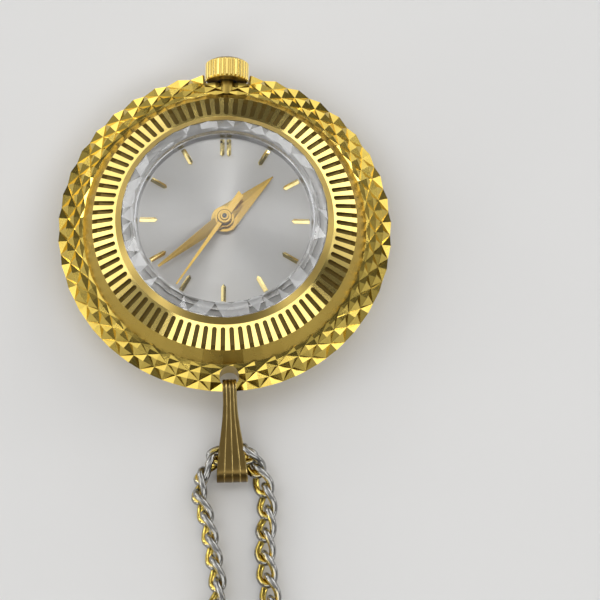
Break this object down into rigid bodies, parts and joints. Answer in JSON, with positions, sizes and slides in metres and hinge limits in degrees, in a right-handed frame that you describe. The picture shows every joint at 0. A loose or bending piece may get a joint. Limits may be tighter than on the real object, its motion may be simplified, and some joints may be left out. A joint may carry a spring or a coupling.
{
  "type": "fob watch",
  "caption": "Pendant fob watch with a faceted gilt flange, fluted bezel, faceted crystal, centre seconds and hand-wound movement, hung by a bail from an endless curb chain.",
  "frame": {"origin": "middle of the flat case back, on the surface that the watch lies on", "axes": "+Z out of the dial, +Y from the centre to twelve o'clock and the crown, +X to three o'clock"},
  "size_m": [0.0334, 0.0888, 0.0095],
  "materials": {
    "gilt": "polished gilt, worn along the edges",
    "steel": "polished stainless steel",
    "movement_steel": "fine ground steel",
    "movement_brass": "gilt brass",
    "nickel": "matt nickel plate",
    "dial": "silvered, sunray brushed",
    "acrylic": "clear polished acrylic",
    "jewel": "red synthetic ruby",
    "blued_steel": "heat-blued steel",
    "rubber": "soft black",
    "bail_gilt": "dull gilt with fine engraved lines",
    "chain": "gilt, worn to the pale metal on the high spots",
    "tie": "white paper-covered tie"
  },
  "bodies": {
    "chain": {"bail": "bail_gilt", "bail_link": "chain", "chain_right": "chain", "chain_left": "chain", "chain_coil": "chain", "chain_tie": "tie"},
    "case": {"case_back": "steel", "case_body": "gilt", "bezel": "gilt", "crystal": "acrylic", "crystal_ring": "movement_steel", "movement_ring": "movement_brass", "crown_tube": "movement_brass", "dial": "dial", "hour_markers": "gilt", "main_plate": "nickel", "barrel_bridge": "nickel", "train_bridge": "nickel", "balance_cock": "nickel", "pallet_cock": "nickel", "bridge_screws": "blued_steel", "jewels": "jewel", "crown_wheel_screw": "blued_steel", "hairspring": "blued_steel"},
    "winding": {"clutch_wheel": "movement_steel", "winding_pinion": "movement_steel"},
    "crown": {"crown": "gilt", "crown_gasket": "rubber", "stem": "movement_steel"},
    "crown_wheel": {"crown_wheel": "movement_steel"},
    "ratchet": {"ratchet_wheel": "movement_steel", "ratchet_screw": "blued_steel", "barrel_arbor": "movement_steel"},
    "click": {"click": "movement_steel"},
    "seconds": {"fourth_wheel": "movement_brass", "second_hand": "gilt"},
    "minutes": {"centre_wheel": "movement_brass", "cannon_pinion": "movement_steel", "minute_hand": "gilt"},
    "hours": {"hour_wheel": "movement_brass", "hour_hand": "gilt"},
    "third": {"third_wheel": "movement_brass"},
    "escape": {"escape_wheel": "movement_brass"},
    "barrel": {"barrel": "movement_brass", "mainspring": "movement_steel"},
    "minute_wheel": {"minute_wheel": "movement_brass"},
    "setting_wheel": {"setting_wheel": "movement_steel"},
    "setting_lever": {"setting_lever": "movement_steel"},
    "pallet": {"pallet_fork": "movement_steel"},
    "balance": {"balance_wheel": "movement_brass"}
  },
  "joints": [
    {"name": "case_swing", "type": "hinge", "parent": "chain", "child": "case", "pos_m": [0.00065, -0.01479, 0.00305], "axis": [0.999, 0.0436, 0], "range_deg": [0, 95]},
    {"name": "crown_turn", "type": "hinge", "parent": "case", "child": "winding", "pos_m": [0, 0.0075, 0.0036], "axis": [0, 1, 0], "continuous": true},
    {"name": "crown_pull", "type": "slide", "parent": "winding", "child": "crown", "axis": [0, 1, 0], "range_m": [0, 0.0009]},
    {"name": "crown_wheel_turn", "type": "hinge", "parent": "case", "child": "crown_wheel", "pos_m": [0, 0.0054, 0.0036], "axis": [0, 0, 1], "continuous": true},
    {"name": "ratchet_turn", "type": "hinge", "parent": "case", "child": "ratchet", "pos_m": [0.00398, 0.00279, 0.0036], "axis": [0, 0, 1], "continuous": true},
    {"name": "click_rock", "type": "hinge", "parent": "case", "child": "click", "pos_m": [0.0057, -0.00044, 0.0036], "axis": [0, 0, 1], "range_deg": [0, 6]},
    {"name": "second_turn", "type": "hinge", "parent": "case", "child": "seconds", "pos_m": [0, 0, 0.0036], "axis": [0, 0, -1], "continuous": true},
    {"name": "minute_turn", "type": "hinge", "parent": "case", "child": "minutes", "pos_m": [0, 0, 0.0036], "axis": [0, 0, -1], "continuous": true},
    {"name": "hour_turn", "type": "hinge", "parent": "case", "child": "hours", "pos_m": [0, 0, 0.0036], "axis": [0, 0, -1], "continuous": true},
    {"name": "third_turn", "type": "hinge", "parent": "case", "child": "third", "pos_m": [-0.00344, 0.00241, 0.0036], "axis": [0, 0, -1], "continuous": true},
    {"name": "escape_turn", "type": "hinge", "parent": "case", "child": "escape", "pos_m": [-0.00147, -0.00404, 0.0036], "axis": [0, 0, -1], "continuous": true},
    {"name": "barrel_turn", "type": "hinge", "parent": "case", "child": "barrel", "pos_m": [0.00398, 0.00279, 0.0036], "axis": [0, 0, -1], "continuous": true},
    {"name": "minute_wheel_turn", "type": "hinge", "parent": "case", "child": "minute_wheel", "pos_m": [0, 0.0024, 0.0036], "axis": [0, 0, -1], "continuous": true},
    {"name": "setting_wheel_turn", "type": "hinge", "parent": "case", "child": "setting_wheel", "pos_m": [0, 0.00505, 0.0036], "axis": [0, 0, -1], "continuous": true},
    {"name": "setting_lever_swing", "type": "hinge", "parent": "case", "child": "setting_lever", "pos_m": [0.002, 0.00855, 0.0036], "axis": [0, 0, 1], "range_deg": [-30, 0]},
    {"name": "pallet_rock", "type": "hinge", "parent": "case", "child": "pallet", "pos_m": [0.00046, -0.00438, 0.0036], "axis": [0, 0, 1], "range_deg": [-4, 4]},
    {"name": "balance_swing", "type": "hinge", "parent": "case", "child": "balance", "pos_m": [0.00424, -0.00506, 0.0036], "axis": [0, 0, 1], "range_deg": [-270, 270]}
  ],
  "couplings": [
    {"joint": "crown_wheel_turn", "follows": "crown_turn", "ratio": 0.5},
    {"joint": "ratchet_turn", "follows": "crown_turn", "ratio": -0.31818},
    {"joint": "minute_turn", "follows": "second_turn", "ratio": 0.016667},
    {"joint": "hour_turn", "follows": "second_turn", "ratio": 0.0013889},
    {"joint": "third_turn", "follows": "second_turn", "ratio": -0.13333},
    {"joint": "escape_turn", "follows": "second_turn", "ratio": -10},
    {"joint": "barrel_turn", "follows": "second_turn", "ratio": -0.0020833},
    {"joint": "minute_wheel_turn", "follows": "second_turn", "ratio": -0.0055556},
    {"joint": "setting_wheel_turn", "follows": "second_turn", "ratio": 0.011765},
    {"joint": "setting_lever_swing", "follows": "crown_pull", "rad_per_m": -518.63}
  ]
}
